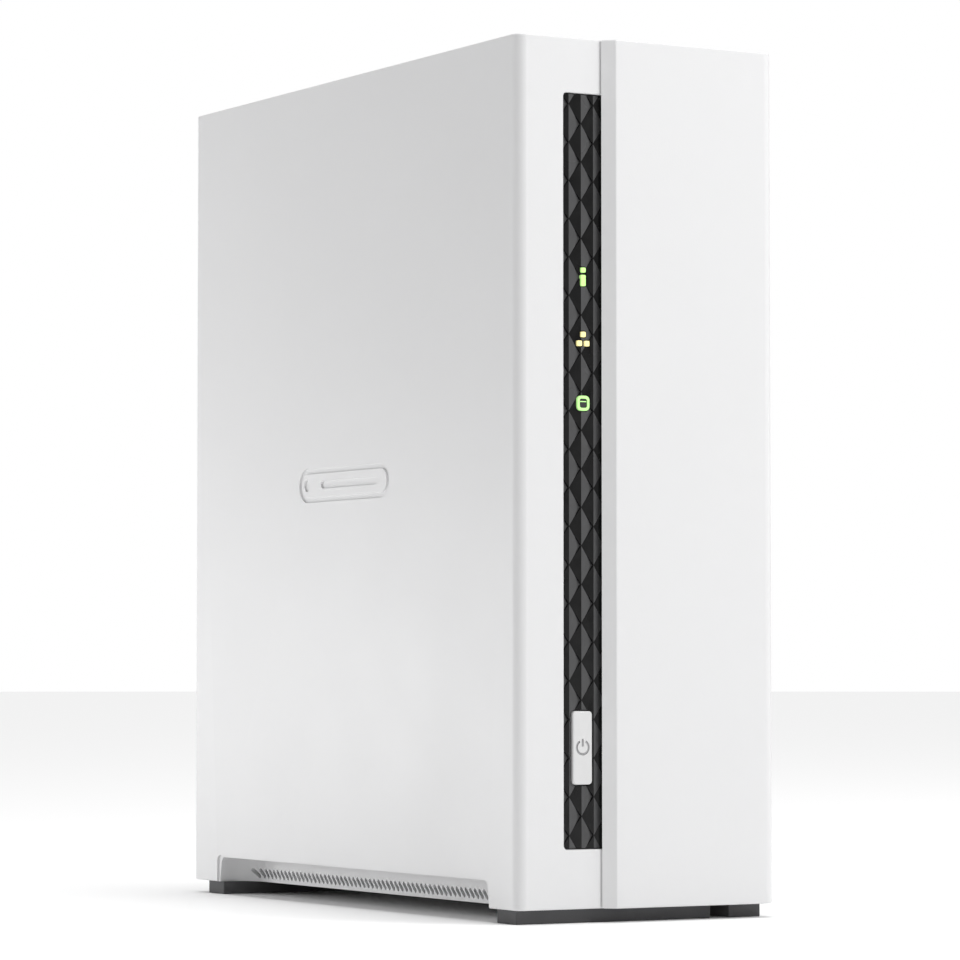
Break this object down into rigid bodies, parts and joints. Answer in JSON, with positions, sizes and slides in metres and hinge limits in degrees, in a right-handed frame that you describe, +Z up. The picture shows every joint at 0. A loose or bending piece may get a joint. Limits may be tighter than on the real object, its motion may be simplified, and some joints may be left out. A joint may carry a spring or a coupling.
{
  "type": "nas enclosure",
  "caption": "Slim upright network storage enclosure with a stepped front, a black indicator window, a power key, a rear fan and sockets, and a side cover that slides off its hard drive.",
  "frame": {"origin": "on the surface it stands on, under the middle of the enclosure's outline", "axes": "+X to the right seen from the front, +Y towards the back with the sockets, +Z up"},
  "size_m": [0.064, 0.1562, 0.1886],
  "materials": {
    "shell_plastic": "fine spark-textured white moulded plastic",
    "key_plastic": "smooth white moulded plastic",
    "window_plastic": "smoked black plastic faceted in a lattice of diamonds",
    "light_pipe": "clear plastic lit pale green",
    "lamp_body": "ivory nylon",
    "foot_rubber": "dark grey rubber, matte",
    "circuit_board": "green solder resist over copper tracks",
    "chip_plastic": "black moulded plastic",
    "heat_sink_metal": "extruded and anodised",
    "screw_steel": "nickel-plated steel",
    "socket_steel": "tin-plated steel shell",
    "sheet_steel": "zinc-plated sheet, folded",
    "cast_metal": "die-cast, machined on its faces",
    "fan_plastic": "black glass-filled plastic",
    "cable_sleeve": "soft black insulation"
  },
  "bodies": {
    "housing": {"left_shell": "shell_plastic", "front_foot_long": "foot_rubber", "rear_foot_long": "foot_rubber", "front_window": "window_plastic", "status_light_pipe": "light_pipe", "network_light_pipe": "light_pipe", "disk_light_pipe": "light_pipe", "status_lamp": "lamp_body", "network_lamp": "lamp_body", "disk_lamp": "lamp_body", "power_switch": "chip_plastic", "indicator_board": "circuit_board", "indicator_screw_lower": "screw_steel", "indicator_screw_upper": "screw_steel", "cable_plug": "lamp_body", "indicator_cable": "cable_sleeve", "cable_socket": "lamp_body", "main_board": "circuit_board", "board_screw_lower": "screw_steel", "board_screw_upper": "screw_steel", "processor": "chip_plastic", "memory_chip": "chip_plastic", "flash_chip": "chip_plastic", "heat_sink": "heat_sink_metal", "clock_battery": "screw_steel", "network_socket": "socket_steel", "usb_socket_upper": "socket_steel", "usb_socket_lower": "socket_steel", "power_socket": "chip_plastic", "reset_switch": "chip_plastic", "fan_frame": "fan_plastic", "fan_screw_lower_left": "screw_steel", "fan_screw_lower_right": "screw_steel", "fan_screw_upper_left": "screw_steel", "fan_screw_upper_right": "screw_steel", "fan_lead": "cable_sleeve", "fan_plug": "lamp_body", "fan_socket": "lamp_body", "drive_riser_board": "circuit_board", "drive_connector": "chip_plastic", "drive_base": "cast_metal", "drive_lid": "sheet_steel", "drive_circuit_board": "circuit_board", "drive_bracket": "sheet_steel", "bracket_screw_lower": "screw_steel", "bracket_screw_upper": "screw_steel", "bracket_screw_rear": "screw_steel", "drive_screw_front_lower": "screw_steel", "drive_screw_front_upper": "screw_steel", "drive_screw_rear_lower": "screw_steel", "drive_screw_rear_upper": "screw_steel"},
    "cover": {"right_cover": "shell_plastic", "front_foot_short": "foot_rubber", "rear_foot_short": "foot_rubber"},
    "power_key": {"power_button": "key_plastic"},
    "power_plunger": {"power_switch_plunger": "chip_plastic"},
    "reset_pin": {"reset_plunger": "chip_plastic"},
    "fan_rotor": {"fan_impeller": "fan_plastic"},
    "lower_cover_screw": {"cover_screw_lower": "screw_steel"},
    "upper_cover_screw": {"cover_screw_upper": "screw_steel"}
  },
  "joints": [
    {"name": "cover_slide", "type": "slide", "parent": "housing", "child": "cover", "axis": [0, -1, 0], "range_m": [0, 0.165]},
    {"name": "power_button_press", "type": "slide", "parent": "housing", "child": "power_key", "axis": [0, 1, 0], "range_m": [0, 0.0006], "stiffness_N_per_m": 400},
    {"name": "power_switch_press", "type": "slide", "parent": "housing", "child": "power_plunger", "axis": [0, 1, 0], "range_m": [0, 0.0006]},
    {"name": "reset_press", "type": "slide", "parent": "housing", "child": "reset_pin", "axis": [0, -1, 0], "range_m": [0, 0.0005], "stiffness_N_per_m": 400},
    {"name": "fan_spin", "type": "hinge", "parent": "housing", "child": "fan_rotor", "pos_m": [0, 0.0665, 0.14], "axis": [0, 1, 0], "continuous": true},
    {"name": "lower_screw_pull", "type": "slide", "parent": "housing", "child": "lower_cover_screw", "axis": [0, 1, 0], "range_m": [0, 0.012]},
    {"name": "upper_screw_pull", "type": "slide", "parent": "housing", "child": "upper_cover_screw", "axis": [0, 1, 0], "range_m": [0, 0.012]}
  ],
  "couplings": [
    {"joint": "power_switch_press", "follows": "power_button_press", "ratio": 1}
  ]
}
